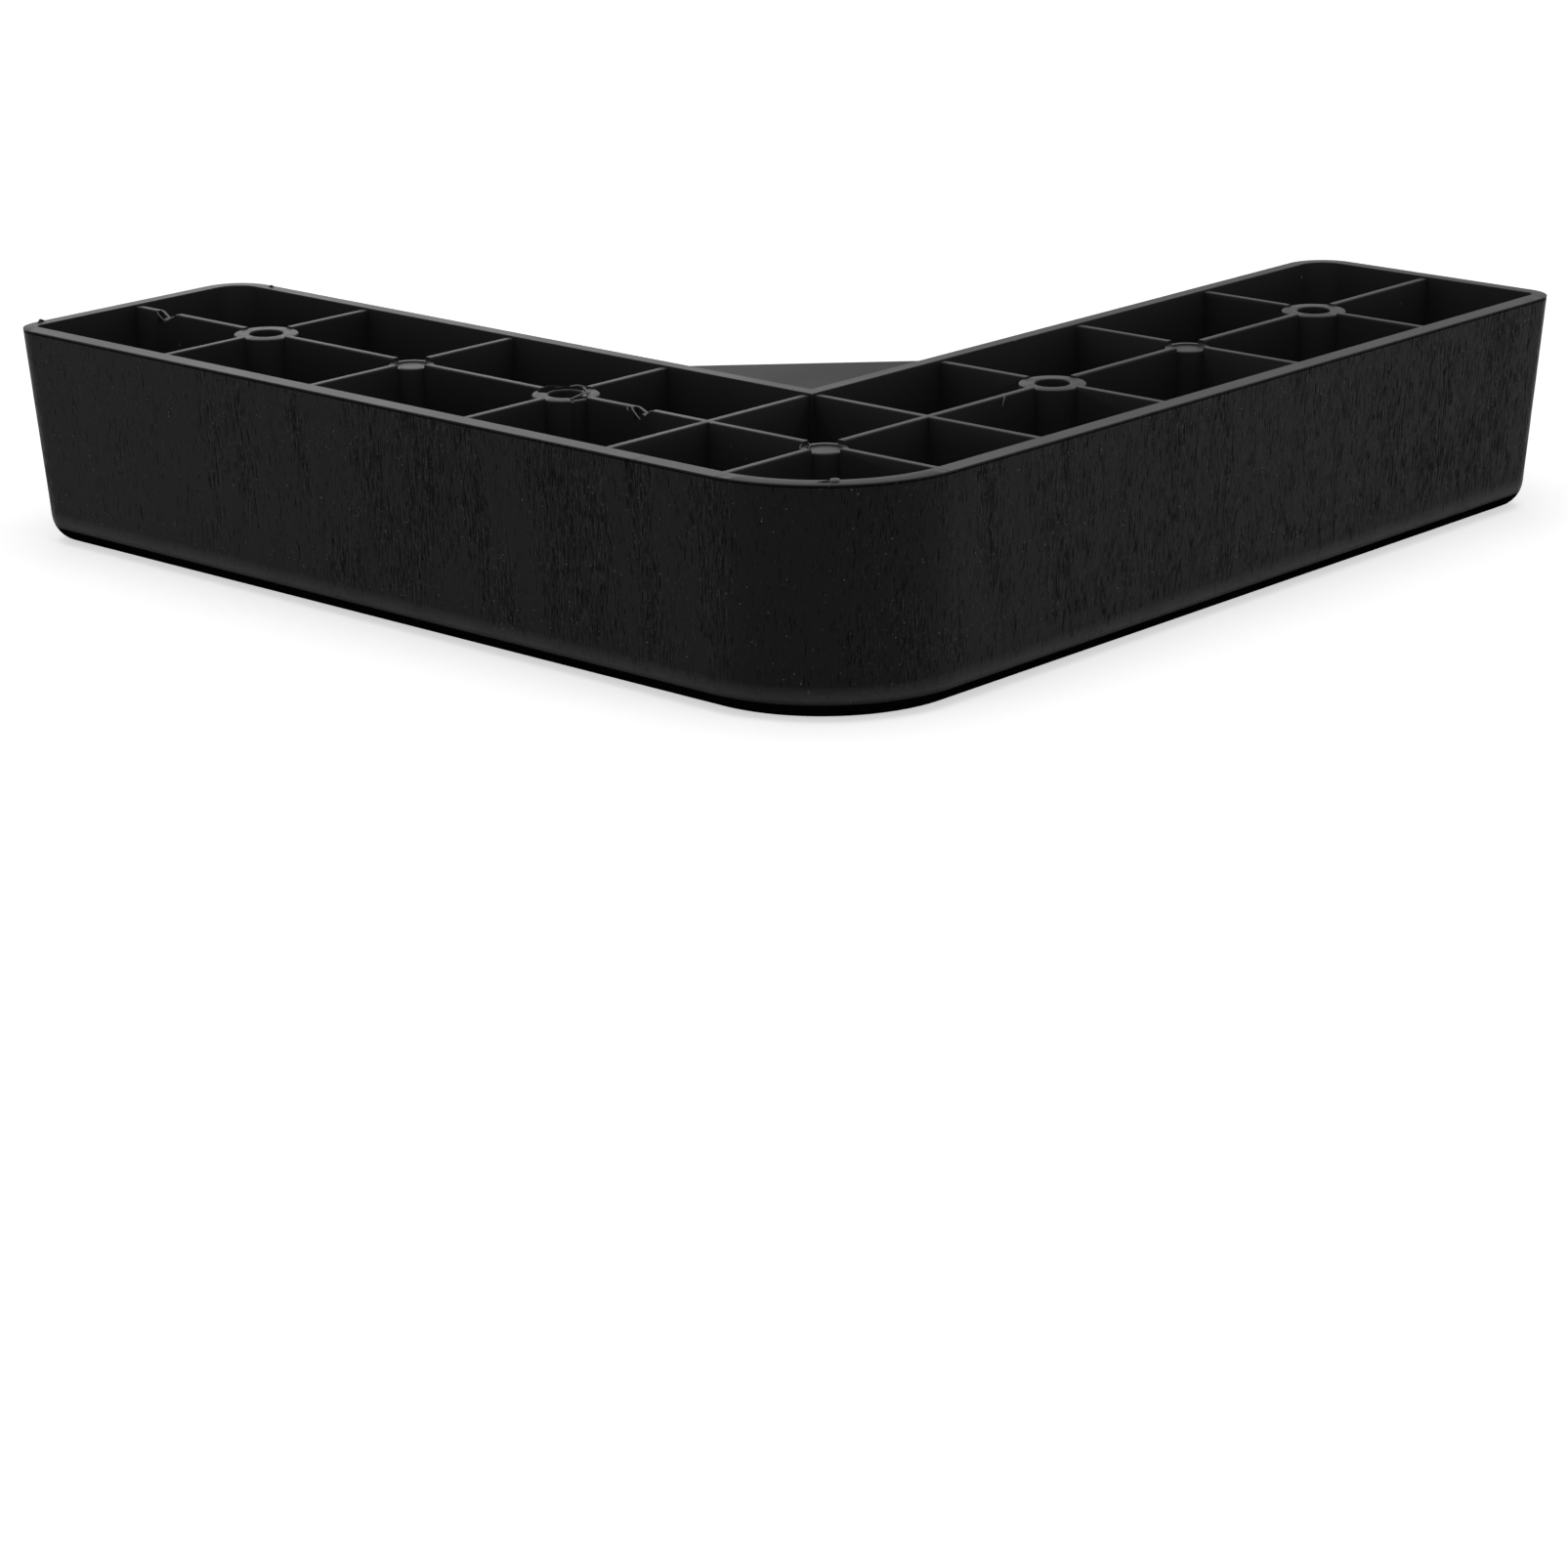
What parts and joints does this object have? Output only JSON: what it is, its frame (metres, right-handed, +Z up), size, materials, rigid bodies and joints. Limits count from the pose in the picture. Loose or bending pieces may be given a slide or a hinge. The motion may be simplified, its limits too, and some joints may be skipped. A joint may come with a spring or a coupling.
{
  "type": "bed riser",
  "caption": "L-shaped moulded corner riser for a bed or sofa frame: closed tapered base, open ribbed top with screw bosses and a corner web.",
  "frame": {"origin": "middle of the bounding box of the base, on the surface that the riser stands on", "axes": "+Z up from the closed base to the open ribbed top; one arm of the L runs along +X, the other along +Y, from the rounded outer corner at -X -Y"},
  "size_m": [0.15, 0.15, 0.03],
  "materials": {
    "riser_plastic": "black, satin, moulded with a wood grain on the outer walls"
  },
  "bodies": {
    "root": {"riser_body": "riser_plastic"}
  },
  "joints": []
}
